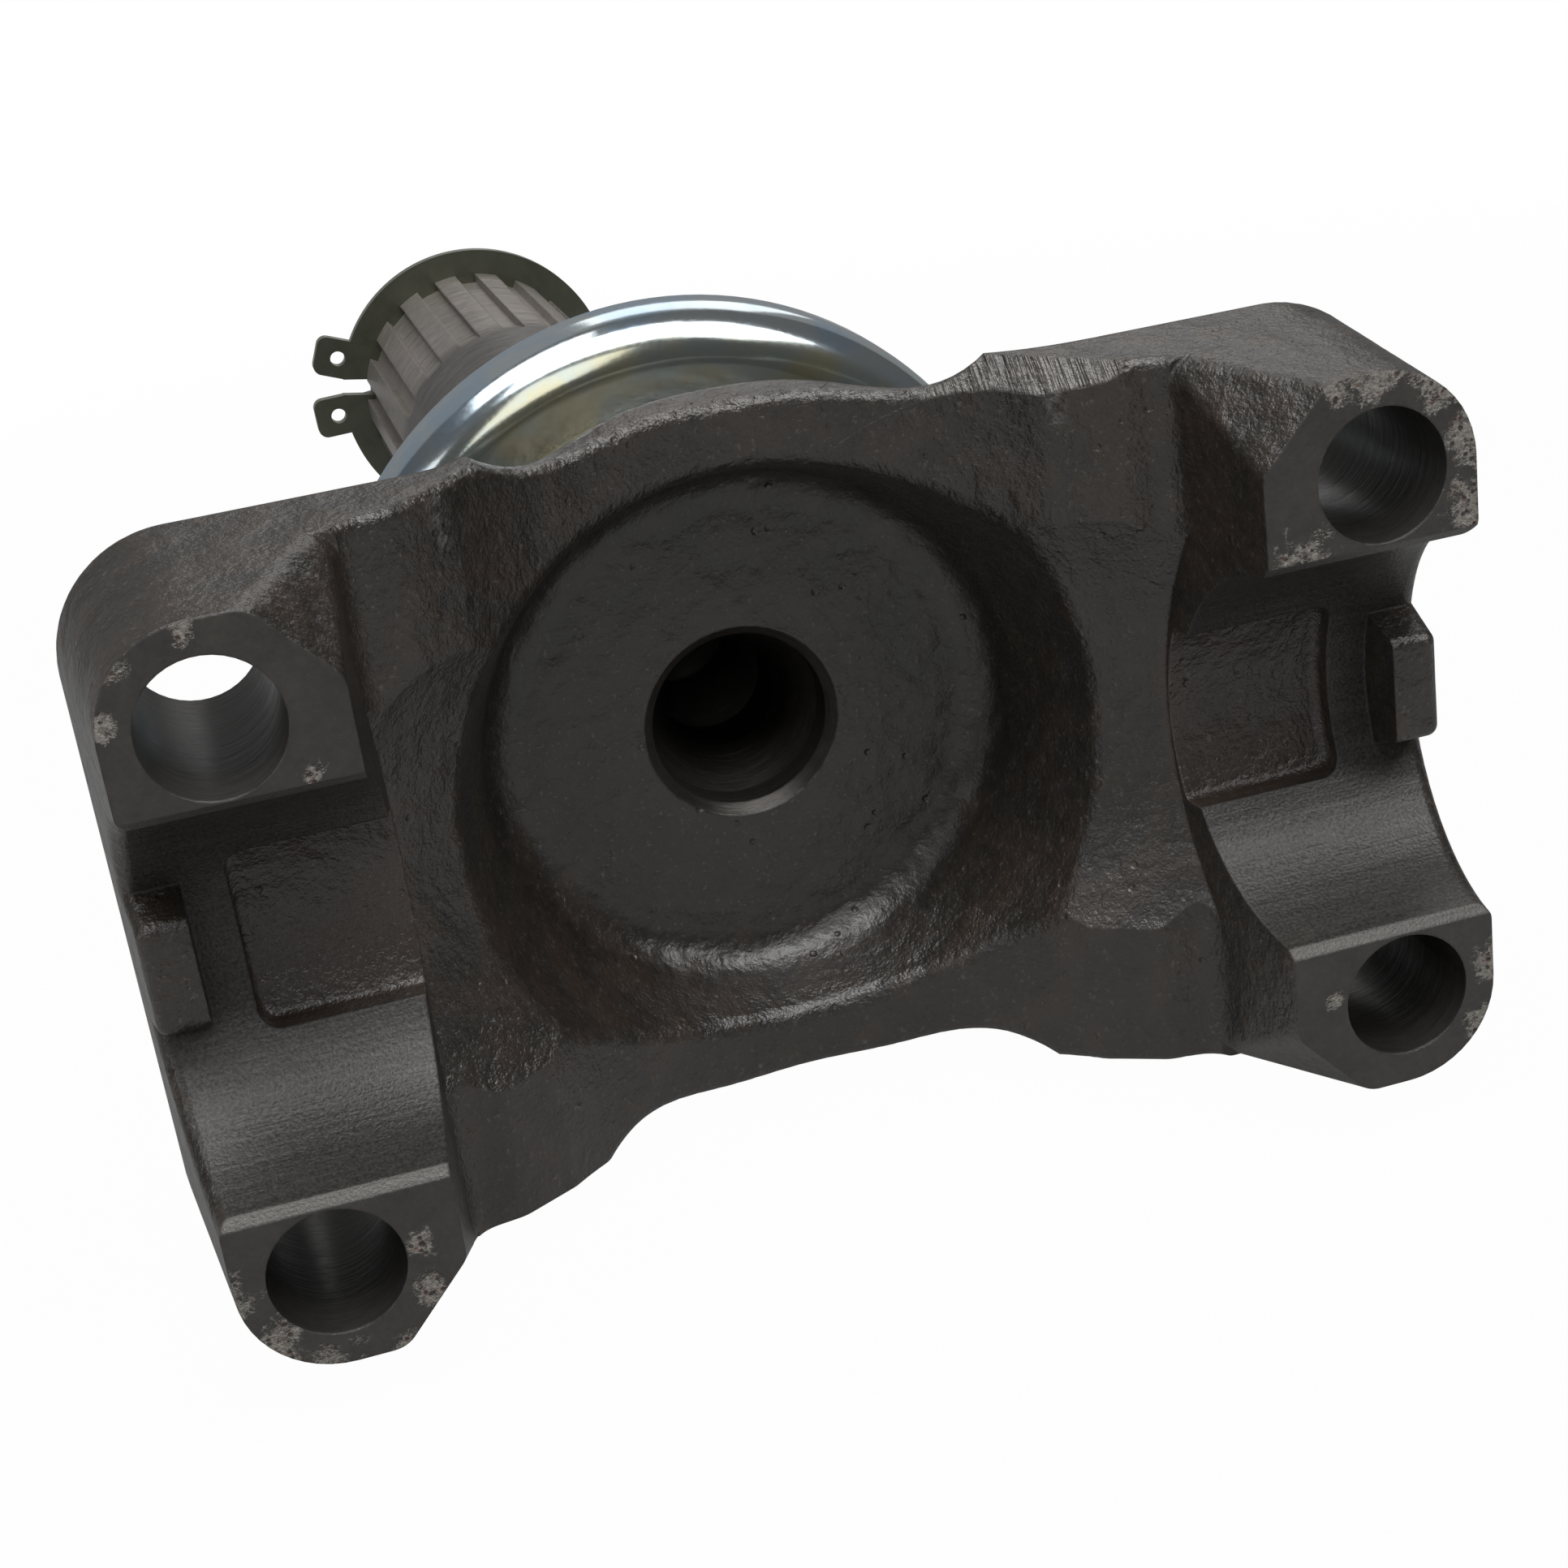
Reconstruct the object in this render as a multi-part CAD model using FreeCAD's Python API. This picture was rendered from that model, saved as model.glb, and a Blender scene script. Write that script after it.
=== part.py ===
"""Forged end yoke with a stub shaft, its dust slinger and its snap ring.

While it is built, X runs across the two arms, Y runs from bolt to bolt on an arm and Z is the
shaft axis with the shaft pointing to -Z. The bolt faces lie at Z = 0. At the end everything is
turned so that the shaft points along +Y and Z is up. All sizes are in millimetres.
"""
import FreeCAD
import Part
import math
import os

os.makedirs("parts", exist_ok=True)
V = FreeCAD.Vector

# reach of the cutters that pass right through, and their start in front of the bolt faces
through = 80.0
above = 4.0

# bolt pattern and bolt faces
bolt_half_x = 42.0
bolt_half_y = 21.0
bolt_hole_r = 5.06

# bearing cap seats
cap_seat_r = 15.09
cap_axis_z = 0.8
seat_chamfer = 0.7
seat_end_r = 1.2
pocket_half_y = 7.25
pocket_outer_x = 43.4
pocket_depth = 1.9
pocket_corner_r = 1.6
pocket_foot_r = 0.8

# locating lugs at the outer ends of the seats
lug_thickness = 2.7
lug_top_z = -9.1
lug_foot_z = -14.6
lug_top_half_y = 4.2
lug_foot_half_y = 5.9
lug_corner_r = 1.0
lug_end_r = 0.9

# outline of the head, at the bolt faces, with its draft towards the back
head_half_x = 49.4
head_half_y = 28.6
draft_x_deg = 6.4
draft_y_deg = 3.9
head_corner_r = 7.5
head_corner_growth = 0.095
arm_back_z = -21.4
back_edge_r = 2.0
flank_edge_r = 1.0

# waist of the outline between the arms
waist_half_y = 28.8
waist_end_half_y = 28.3
waist_half_x = 15.5
waist_draft_deg = 5.0
waist_dip = 0.35
shoulder_x = 20.2
shoulder_run = 1.2
shoulder_rise = 3.6

# towers that carry the bolt holes
tower_inner_x = 32.8
tower_foot_x = 31.23
tower_foot_z = -12.3
tower_foot_r = 2.8
tower_cut_y = 22.6
tower_cut_x = 38.3
tower_cut_low_x = 31.9
tower_cut_low_y = 29.0
tower_cut_low_z = -11.6
tower_wall_edge_r = 1.5
tower_side_edge_r = 2.0

# side of the -X arm that the trimming die cut closer, at -Y
trim_side_y = 28.2
trim_side_z = -13.0
trim_side_deg = 6.8
trim_side_inner_x = 18.0
trim_side_outer_x = 31.5

# facet that the trimming die left on the shoulder of the +X arm, at +Y
facet_front = (25.0, 27.8, -14.45)
facet_inner = (22.4, 27.4, -16.3)
facet_back = (25.1, 29.7, -16.1)
facet_end_x = 30.3

# inner faces of the arms, front of the web
slope_top_x = 27.0
slope_top_z = -13.1
slope_top_r = 3.0
crease_x = 22.4
crease_z = -16.2
crease_r = 3.0
web_front_z = -26.3

# back of the web, given by three stations
web_back_z = -32.2
web_back_mid_x = 9.0
web_back_mid_z = -29.7
web_back_side_x = 15.0
web_back_side_z = -25.9
web_back_arm_x = 22.0
web_back_arm_z = -22.3
arm_back_x = 29.0

# hollow that runs down each arm from the seat to the dish
trough_r = 33.0
trough_low_x = 25.8
trough_low_z = -19.8
trough_slope_deg = 33.9

# dish in the middle and the bore in its floor
dish_floor_z = -33.9
dish_floor_r = 21.2
dish_slope_deg = 18.0
dish_floor_fillet = 4.0
dish_rim_r = 1.6
centre_bore_r = 7.44
centre_bore_depth = 3.5
centre_chamfer = 0.9
centre_cone_deg = 30.0
pilot_r = 4.78
pilot_depth = 26.0
drill_point_deg = 59.0

# hub behind the dish
hub_flare_x = 33.9
hub_flare_z = -21.9
hub_flare_r = 7.0
hub_end_r = 24.2

# dust slinger, pressed from sheet
slinger_face_z = -47.3
slinger_r = 31.95
slinger_sheet = 1.5
slinger_bend_r = 4.7
slinger_lip = 2.0
slinger_neck = 5.5
slinger_neck_bend_r = 2.2
press_gap = 0.02

# shaft
seat_r = 22.0
seat_end_z = -60.0
seat_end_chamfer = 0.8
journal_r = 19.05
journal_end_z = -88.0
journal_end_chamfer = 1.0
shank_r = 14.4
shank_blend_r = 3.0
shaft_end_z = -177.0
end_chamfer = 1.2

# spline
spline_teeth = 17
spline_root_r = 13.3
spline_length = 43.0
spline_run_out = 7.0
spline_gap = 2.5
spline_turn_deg = 2.0
cutter_overrun = 2.0

# snap ring and its groove
ring_inset = 5.7
ring_thickness = 1.5
ring_outer_r = 17.4
ring_side_gap = 0.05
ring_groove_depth = 1.5
ring_lug_angle_deg = 170.0
ring_lug_half_angle_deg = 11.6
ring_hole_pitch_r = 18.4
ring_hole_r = 0.95
ring_lug_width = 4.9
ring_lug_outer_r = 21.3
ring_lug_corner_r = 1.2
ring_slot = 2.0
ear_overlap = 0.5

# places that follow from the sizes above
lug_inner_x = head_half_x - lug_thickness
spline_start_z = shaft_end_z + spline_length
spline_full_z = spline_start_z - spline_run_out
ring_front_z = shaft_end_z + ring_inset
ring_groove_r = shank_r - ring_groove_depth
wall_slant = (tower_inner_x - tower_foot_x) / -tower_foot_z


def prism(points, direction):
    """Solid swept along a direction from a flat closed polygon."""
    corners = [V(*p) for p in points]
    face = Part.Face(Part.makePolygon(corners + [corners[0]]))
    return face.extrude(V(*direction))


def turned(profile):
    """Solid of revolution about Z from (radius, z) pairs."""
    corners = [V(r, 0, z) for r, z in profile]
    face = Part.Face(Part.makePolygon(corners + [corners[0]]))
    return face.revolve(V(0, 0, 0), V(0, 0, 1), 360)


def mirrored(shape, normal):
    """The shape and its mirror image in a plane through the origin."""
    return shape.fuse(shape.mirror(V(0, 0, 0), V(*normal)))


def edges_on(body, tool, test):
    """Edges of the body that lie on the surface of a cutter and whose bounds pass a test."""
    found = []
    for edge in body.Edges:
        if not test(edge.BoundBox):
            continue
        span = edge.LastParameter - edge.FirstParameter
        spots = [edge.valueAt(edge.FirstParameter + q * span) for q in (0.1, 0.5, 0.9)]
        for solid in tool.Solids:
            if max(Part.Vertex(p).distToShape(solid.Shells[0])[0] for p in spots) < 0.01:
                found.append(edge)
                break
    return found


def lowest_y(box):
    """Smallest distance of an edge from the plane Y = 0."""
    return max(box.YMin, -box.YMax)


def outline(half_x, half_y, radius, z):
    """Closed rectangle with round corners at one height."""
    k = radius * (1 - math.sqrt(0.5))
    edges = []
    for quarter in range(4):
        sx = (1, -1, -1, 1)[quarter]
        sy = (1, 1, -1, -1)[quarter]
        ends = [V(sx * half_x, sy * (half_y - radius), z), V(sx * (half_x - radius), sy * half_y, z)]
        if quarter % 2 == 1:
            ends.reverse()
        edges.append(Part.Arc(ends[0], V(sx * (half_x - k), sy * (half_y - k), z), ends[1]).toShape())
        nx = (-1, -1, 1, 1)[quarter]
        ny = (1, -1, -1, 1)[quarter]
        after = V(nx * (half_x - radius), ny * half_y, z)
        if quarter % 2 == 1:
            after = V(nx * half_x, ny * (half_y - radius), z)
        edges.append(Part.makeLine(ends[1], after))
    return Part.Wire(edges)


def drafted_block():
    """Block inside the outline of the head, wider and rounder towards its back."""
    tx = math.tan(math.radians(draft_x_deg))
    ty = math.tan(math.radians(draft_y_deg))
    wires = []
    for z in (above, -through):
        corner = head_corner_r - z * head_corner_growth
        wires.append(outline(head_half_x - z * tx, head_half_y - z * ty, corner, z))
    return Part.makeLoft(wires, True, True)


def waist_cut():
    """Piece removed beside the web, above it; the other side is its mirror image."""
    slope = math.tan(math.radians(waist_draft_deg))
    lift = (above - web_front_z) * slope
    y_mid = waist_half_y - lift
    y_end = waist_end_half_y - lift
    half = [(0, y_mid), (waist_half_x / 2, y_end + waist_dip), (waist_half_x + shoulder_run / 2, y_end),
            (shoulder_x - shoulder_run, y_end + 0.42 * shoulder_rise),
            (shoulder_x + 0.75 * shoulder_run, y_end + shoulder_rise)]
    points = [V(-x, y, above) for x, y in reversed(half[1:])] + [V(x, y, above) for x, y in half]
    curve = Part.BSplineCurve()
    curve.interpolate(points)
    low = curve.toShape()
    a = points[0]
    b = points[-1]
    rest = Part.makePolygon([b, V(b.x, through, above), V(a.x, through, above), a])
    face = Part.Face(Part.Wire([low] + rest.Edges))
    return face.extrude(V(0, through * slope, -through))


def front_cut():
    """Space between the arms: tower walls, shelf, slope and the round web front."""
    y = -through
    right = [V(tower_inner_x + wall_slant * above, y, above), V(tower_foot_x, y, tower_foot_z),
             V(slope_top_x, y, slope_top_z), V(crease_x, y, crease_z)]
    left = [V(-p.x, p.y, p.z) for p in reversed(right)]
    bottom = Part.Arc(right[-1], V(0, y, web_front_z), left[0]).toShape()
    sides = Part.makePolygon(right).Edges + [bottom] + Part.makePolygon(left + [right[0]]).Edges
    space = Part.Face(Part.Wire(sides)).extrude(V(0, 2 * through, 0))
    for x, r in ((tower_foot_x, tower_foot_r), (slope_top_x, slope_top_r), (crease_x, crease_r)):
        long_edges = [e for e in space.Edges
                      if abs(abs(e.CenterOfMass.x) - x) < 0.01 and e.BoundBox.YLength > through]
        space = space.makeFillet(r, long_edges)
    return space


def back_plate():
    """Arms and web seen along Y: flat arm backs joined by the curved back of the web."""
    y = -through
    half = [V(arm_back_x, y, arm_back_z), V(web_back_arm_x, y, web_back_arm_z),
            V(web_back_side_x, y, web_back_side_z), V(web_back_mid_x, y, web_back_mid_z)]
    points = half + [V(0, y, web_back_z)] + [V(-p.x, p.y, p.z) for p in reversed(half)]
    curve = Part.BSplineCurve()
    curve.interpolate(points, InitialTangent=V(-1, 0, 0), FinalTangent=V(-1, 0, 0))
    edge = curve.toShape()
    rest = Part.makePolygon([points[-1], V(-through, y, arm_back_z), V(-through, y, above),
                             V(through, y, above), V(through, y, arm_back_z), points[0]])
    return Part.Face(Part.Wire([edge] + rest.Edges)).extrude(V(0, 2 * through, 0))


def hub_body():
    """Round body behind the dish, flared into the arms, down to the face for the slinger."""
    side = math.sqrt(0.5) * hub_flare_r
    low = V(hub_flare_x - hub_flare_r, 0, hub_flare_z - hub_flare_r)
    mid = V(hub_flare_x - side, 0, low.z + side)
    top = V(hub_flare_x, 0, hub_flare_z)
    flare = Part.Arc(top, mid, low).toShape()
    inside = hub_flare_z + hub_flare_r
    rest = Part.makePolygon([top, V(hub_flare_x, 0, inside), V(0, 0, inside), V(0, 0, slinger_face_z),
                             V(hub_end_r, 0, slinger_face_z), low])
    return Part.Face(Part.Wire([flare] + rest.Edges)).revolve(V(0, 0, 0), V(0, 0, 1), 360)


def tower_corner_cut():
    """Slanted corner that each tower has towards the middle, as one cutter at +X +Y."""
    run = V(tower_cut_x - tower_inner_x, head_half_y - tower_cut_y, 0)
    mid = V((tower_cut_x + tower_inner_x) / 2, (head_half_y + tower_cut_y) / 2, 0)
    foot = V(tower_cut_low_x, tower_cut_low_y, tower_cut_low_z)
    fall = foot.sub(mid)
    rise = above / 2
    start = mid.sub(fall * (rise / -fall.z))
    a = start.sub(run * 1.2)
    b = start.add(run * 1.2)
    corner = V(a.x, b.y, a.z)
    face = Part.Face(Part.makePolygon([a, b, corner, a]))
    return face.extrude(fall * ((rise - tower_cut_low_z) / -tower_cut_low_z))


def trim_side_cut():
    """Sliver off the -Y side of the -X arm, from its shoulder to the foot of its tower."""
    slope = math.tan(math.radians(trim_side_deg))
    top = trim_side_z / 2
    y = -trim_side_y - (trim_side_z - top) * slope
    rise = tower_cut_low_x - trim_side_outer_x + tower_foot_r / 2
    corners = [(-trim_side_inner_x + tower_foot_r, y), (-trim_side_outer_x, y),
               (-trim_side_outer_x - rise, y - rise), (-trim_side_outer_x - rise, -through),
               (-trim_side_inner_x + tower_foot_r, -through)]
    return prism([(cx, cy, top) for cx, cy in corners], (0, 2 * arm_back_z * slope, 2 * arm_back_z))


def facet_cut():
    """Everything outside the plane of the facet, up to the foot of the tower."""
    a = V(*facet_front)
    inward = V(*facet_inner).sub(a).normalize()
    back = V(*facet_back).sub(a)
    back = back.sub(inward * back.dot(inward)).normalize()
    outward = inward.cross(back)
    if outward.y < 0:
        outward = outward * -1
    start = a.add(inward * through / 4).sub(back * through / 4)
    face = Part.Face(Part.makePolygon([start, start.sub(inward * through / 2),
                                       start.sub(inward * through / 2).add(back * through / 2),
                                       start.add(back * through / 2), start]))
    limit = Part.makeBox(through, 2 * through, 2 * through, V(facet_end_x - through, -through, -through))
    return face.extrude(outward * through / 4).common(limit)


def seat_cut():
    """Half-round bearing cap seat through both arms."""
    return Part.makeCylinder(cap_seat_r, 2 * through, V(-through, 0, cap_axis_z), V(1, 0, 0))


def seat_chamfer_cut():
    """Chamfer between the seats and the bolt faces."""
    edge_y = math.sqrt(cap_seat_r ** 2 - cap_axis_z ** 2)
    c = seat_chamfer
    corners = [(edge_y - c, -2 * c), (edge_y + c, 0), (edge_y + c + above, above), (edge_y - c, above)]
    wedge = prism([(-through, y, z) for y, z in corners], (2 * through, 0, 0))
    return mirrored(wedge, (0, 1, 0))


def pocket_cut():
    """Rough pocket in the middle of the +X seat, open towards the dish."""
    inner_x = tower_foot_x - tower_foot_r
    floor_r = cap_seat_r + pocket_depth
    length = pocket_outer_x - inner_x
    box = Part.makeBox(length, 2 * pocket_half_y, floor_r, V(inner_x, -pocket_half_y, -floor_r))
    corners = [e for e in box.Edges if e.BoundBox.ZLength > floor_r / 2 and e.CenterOfMass.x > tower_foot_x]
    box = box.makeFillet(pocket_corner_r, corners)
    deep = Part.makeCylinder(floor_r, through, V(0, 0, cap_axis_z), V(1, 0, 0))
    pocket = box.common(deep)
    foot = [e for e in pocket.Edges if on_radius(e, floor_r) and e.CenterOfMass.x > inner_x + pocket_foot_r]
    return pocket.makeFillet(pocket_foot_r, foot)


def on_radius(edge, radius):
    """True if the edge lies in the cylinder of this radius about the axis of the seats."""
    span = edge.LastParameter - edge.FirstParameter
    spots = [edge.valueAt(edge.FirstParameter + q * span) for q in (0.1, 0.5, 0.9)]
    return all(abs(math.hypot(p.y, p.z - cap_axis_z) - radius) < 0.01 for p in spots)


def trough_cut():
    """Hollow down the inner slope of the +X arm."""
    tilt = math.radians(trough_slope_deg)
    tool = Part.makeCylinder(trough_r, through, V(-through / 2, 0, 0), V(1, 0, 0))
    tool.rotate(V(0, 0, 0), V(0, 1, 0), -trough_slope_deg)
    tool.translate(V(trough_low_x - trough_r * math.sin(tilt), 0, trough_low_z + trough_r * math.cos(tilt)))
    inner_x = shoulder_x - 2 * crease_r
    low = web_front_z - above
    limit = prism([(inner_x, -through, above), (tower_inner_x + above * wall_slant, -through, above),
                   (tower_inner_x + low * wall_slant, -through, low), (inner_x, -through, low)],
                  (0, 2 * through, 0))
    return tool.common(limit)


def dish_cut():
    """Cone of the dish with a rounded floor edge, and the bore in its middle."""
    height = above - dish_floor_z
    wide = dish_floor_r + height * math.tan(math.radians(dish_slope_deg))
    cone = Part.makeCone(dish_floor_r, wide, height, V(0, 0, dish_floor_z), V(0, 0, 1))
    floor_edge = [e for e in cone.Edges if e.BoundBox.ZMax < dish_floor_z + 0.1]
    return cone.makeFillet(dish_floor_fillet, floor_edge)


def bore_cut():
    """Centre hole in the dish floor: short bore, cone and drilled pilot hole."""
    top = dish_floor_z + centre_chamfer
    wide = centre_bore_r + 2 * centre_chamfer
    cone_z = dish_floor_z - centre_bore_depth
    pilot_z = cone_z - (centre_bore_r - pilot_r) / math.tan(math.radians(centre_cone_deg))
    low = dish_floor_z - pilot_depth
    tip = low - pilot_r / math.tan(math.radians(drill_point_deg))
    return turned([(0, top), (wide, top), (centre_bore_r, dish_floor_z - centre_chamfer),
                   (centre_bore_r, cone_z), (pilot_r, pilot_z), (pilot_r, low), (0, tip)])


def lug():
    """Locating lug at the outer end of the +X seat, before its outer end is trimmed."""
    x = lug_inner_x
    corners = [(-lug_foot_half_y, lug_foot_z), (lug_foot_half_y, lug_foot_z),
               (lug_top_half_y, lug_top_z), (-lug_top_half_y, lug_top_z)]
    block = prism([(x, y, z) for y, z in corners], (head_half_x, 0, 0))
    top_edges = [e for e in block.Edges
                 if abs(e.CenterOfMass.z - lug_top_z) < 0.01 and e.BoundBox.XLength > lug_top_half_y]
    return block.makeFillet(lug_corner_r, top_edges)


def bolt_holes():
    """The four bolt holes, through the arms."""
    holes = [Part.makeCylinder(bolt_hole_r, 2 * through, V(sx * bolt_half_x, sy * bolt_half_y, -through))
             for sx in (-1, 1) for sy in (-1, 1)]
    return holes[0].multiFuse(holes[1:])


def is_back_edge(edge):
    """True for the edges that run round the back of the outline."""
    box = edge.BoundBox
    if box.ZMax > 0.85 * arm_back_z or box.ZMin < 1.9 * arm_back_z:
        return False
    span = edge.LastParameter - edge.FirstParameter
    spots = [edge.valueAt(edge.FirstParameter + q * span) for q in (0.2, 0.5, 0.8)]
    return all(abs(p.y) > 0.945 * head_half_y or abs(p.x) > 0.87 * head_half_x for p in spots)


def head():
    """The forged head with its machined faces."""
    block = drafted_block()
    body = back_plate().fuse(hub_body()).common(block)
    body = body.cut(mirrored(waist_cut(), (0, 1, 0))).removeSplitter()
    body = body.makeFillet(back_edge_r, [e for e in body.Edges if is_back_edge(e)])
    space = front_cut()
    corners = mirrored(mirrored(tower_corner_cut(), (1, 0, 0)), (0, 1, 0))
    body = body.cut(space).removeSplitter().cut(corners).removeSplitter()
    tall = -0.4 * tower_cut_low_z
    wall = edges_on(body, corners, lambda b: b.ZLength > tall and lowest_y(b) < 1.06 * tower_cut_y)
    body = body.makeFillet(tower_wall_edge_r, wall)
    side = edges_on(body, corners, lambda b: b.ZLength > tall and lowest_y(b) > 1.1 * tower_cut_y)
    body = body.makeFillet(tower_side_edge_r, side)
    cove_x = tower_foot_x - 0.64 * tower_foot_r
    flank = edges_on(body, space, lambda b: b.YLength < 0.12 * head_half_y and b.ZMax < 0.73 * tower_foot_z
                     and lowest_y(b) > 0.93 * head_half_y and max(b.XMax, -b.XMin) < cove_x)
    body = body.makeFillet(flank_edge_r, flank)
    body = body.cut(mirrored(trough_cut(), (1, 0, 0)))
    dish = dish_cut()
    body = body.cut(dish)
    rim = edges_on(body, dish, lambda b: b.ZMin > 0.885 * dish_floor_z and b.ZMax < tower_cut_low_z
                   and b.YLength > dish_floor_r / 4)
    body = body.makeFillet(dish_rim_r, rim)
    body = body.cut(trim_side_cut()).cut(facet_cut())
    seat = seat_cut()
    body = body.cut(seat)
    ends = edges_on(body, seat, lambda b: b.YLength > cap_seat_r
                    and max(b.XMax, -b.XMin) > 0.92 * head_half_x)
    body = body.makeFillet(seat_end_r, ends)
    top = Part.makeBox(2 * through, 2 * through, through, V(-through, -through, 0))
    body = body.cut(top).cut(seat_chamfer_cut())
    body = body.cut(mirrored(pocket_cut(), (1, 0, 0)))
    ear = lug().common(block)
    tips = [e for e in ear.Edges if e.BoundBox.XMin > head_half_x + lug_end_r / 2
            and e.CenterOfMass.z > lug_foot_z + lug_end_r / 3]
    ear = ear.makeFillet(lug_end_r, tips)
    return body.fuse(mirrored(ear, (1, 0, 0)))


def shaft():
    """Turned shaft behind the head: slinger seat, seal journal and shank with its groove."""
    c = end_chamfer
    b = shank_blend_r
    groove_front = ring_front_z + ring_side_gap
    groove_back = ring_front_z - ring_thickness - ring_side_gap
    s = seat_end_chamfer
    j = journal_end_chamfer
    root_z = slinger_face_z + seat_end_chamfer
    body = turned([(0, root_z), (seat_r, root_z), (seat_r, seat_end_z + s), (seat_r - s, seat_end_z),
                   (journal_r, seat_end_z), (journal_r, journal_end_z + j), (journal_r - j, journal_end_z),
                   (shank_r, journal_end_z), (shank_r, groove_front), (ring_groove_r, groove_front),
                   (ring_groove_r, groove_back), (shank_r, groove_back), (shank_r, shaft_end_z + c),
                   (shank_r - c, shaft_end_z), (0, shaft_end_z)])
    foot = [e for e in body.Edges if abs(e.CenterOfMass.z - journal_end_z) < 0.01
            and abs(e.BoundBox.XLength - 2 * shank_r) < 0.01]
    return body.makeFillet(b, foot)


def spline_cutters():
    """One straight-sided gap of the spline, run out at its front end, repeated round the shaft."""
    out = shank_r + cutter_overrun
    end_z = shaft_end_z - cutter_overrun
    w = spline_gap
    gap = prism([(spline_root_r, -w / 2, end_z), (out, -w / 2, end_z),
                 (out, -w / 2, spline_start_z + 0.75 * cutter_overrun), (shank_r, -w / 2, spline_start_z),
                 (spline_root_r, -w / 2, spline_full_z)], (0, w, 0))
    gaps = []
    for i in range(spline_teeth):
        g = gap.copy()
        g.rotate(V(0, 0, 0), V(0, 0, 1), 360.0 * i / spline_teeth + spline_turn_deg)
        gaps.append(g)
    return gaps[0].multiFuse(gaps[1:])


def yoke():
    """Head and shaft as the one forging that they are."""
    body = head().fuse(shaft()).removeSplitter()
    body = body.cut(bolt_holes())
    body = body.cut(bore_cut())
    return body.cut(spline_cutters())


def dust_slinger():
    """Cup pressed from sheet: flat face, bend and rim, with a short neck on the hub."""
    t = slinger_sheet
    bore = seat_r + press_gap
    z = slinger_face_z
    r_out = slinger_r
    b = slinger_bend_r
    n = slinger_neck_bend_r
    back = z - b - slinger_lip
    points = [V(bore, 0, z - n), V(bore + n, 0, z), V(r_out - b, 0, z), V(r_out, 0, z - b), V(r_out, 0, back),
              V(r_out - t, 0, back), V(r_out - t, 0, z - b), V(r_out - b, 0, z - t), V(bore + n, 0, z - t),
              V(bore + t, 0, z - n), V(bore + t, 0, z - slinger_neck), V(bore, 0, z - slinger_neck)]
    k = math.sqrt(0.5)

    def bend(start, centre_r, centre_z, radius, sx, end):
        mid = V(centre_r + sx * radius * k, 0, centre_z + radius * k)
        return Part.Arc(start, mid, end).toShape()

    def line(i, j):
        return Part.makeLine(points[i], points[j])

    edges = [bend(points[0], bore + n, z - n, n, -1, points[1]), line(1, 2),
             bend(points[2], r_out - b, z - b, b, 1, points[3]), line(3, 4), line(4, 5), line(5, 6),
             bend(points[6], r_out - b, z - b, b - t, 1, points[7]), line(7, 8),
             bend(points[8], bore + n, z - n, n - t, -1, points[9]), line(9, 10), line(10, 11), line(11, 0)]
    return Part.Face(Part.Wire(edges)).revolve(V(0, 0, 0), V(0, 0, 1), 360)


def snap_ring():
    """Open ring with two eared ends, each with a plier hole."""
    back = ring_front_z - ring_thickness
    inner = ring_groove_r + press_gap
    ring = Part.makeCylinder(ring_outer_r, ring_thickness, V(0, 0, back), V(0, 0, 1))
    for side in (-1, 1):
        turn = ring_lug_angle_deg + side * ring_lug_half_angle_deg
        foot = inner + ear_overlap
        ear = Part.makeBox(ring_lug_outer_r - foot, ring_lug_width, ring_thickness,
                           V(foot, -ring_lug_width / 2, back))
        tips = [e for e in ear.Edges
                if e.BoundBox.ZLength > ring_thickness / 2 and e.CenterOfMass.x > ring_hole_pitch_r]
        ear = ear.makeFillet(ring_lug_corner_r, tips)
        ear.rotate(V(0, 0, 0), V(0, 0, 1), turn)
        ring = ring.fuse(ear)
    ring = ring.removeSplitter()
    tall = 3 * ring_thickness
    low = back - ring_thickness
    ring = ring.cut(Part.makeCylinder(inner, tall, V(0, 0, low), V(0, 0, 1)))
    slot = Part.makeBox(ring_lug_outer_r, ring_slot, tall, V(inner / 2, -ring_slot / 2, low))
    slot.rotate(V(0, 0, 0), V(0, 0, 1), ring_lug_angle_deg)
    ring = ring.cut(slot)
    for side in (-1, 1):
        turn = math.radians(ring_lug_angle_deg + side * ring_lug_half_angle_deg)
        centre = V(ring_hole_pitch_r * math.cos(turn), ring_hole_pitch_r * math.sin(turn), low)
        ring = ring.cut(Part.makeCylinder(ring_hole_r, tall, centre, V(0, 0, 1)))
    return ring


def main():
    for name, shape in (("yoke", yoke()), ("dust_slinger", dust_slinger()), ("snap_ring", snap_ring())):
        shape.rotate(V(0, 0, 0), V(1, 0, 0), 90)
        shape.exportStep("parts/%s.step" % name)
        print(name, shape.isValid(), round(shape.Volume), len(shape.Faces), len(shape.Solids),
              [round(c, 1) for c in shape.CenterOfGravity])


main()
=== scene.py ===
# %% [markdown]
# # A forged yoke, its dust slinger and its snap ring
#
# The object is the end yoke of a light truck's driveline. It was hammered from a red hot billet in
# two dies, trimmed, machined where bearings and bolts sit, and dipped to keep rust off. A plated
# sheet-metal ring and a sprung ring are pushed onto its shaft.
#
# The shapes come finished from the CAD model, apart from one small plug. So this script is about light
# and about surfaces: how forged scale, a milled seat, a drilled hole, zinc plate and spring steel
# differ from each other.

# %% Tools and the frame
import math

import bpy
from mathutils import Matrix, Vector


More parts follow.
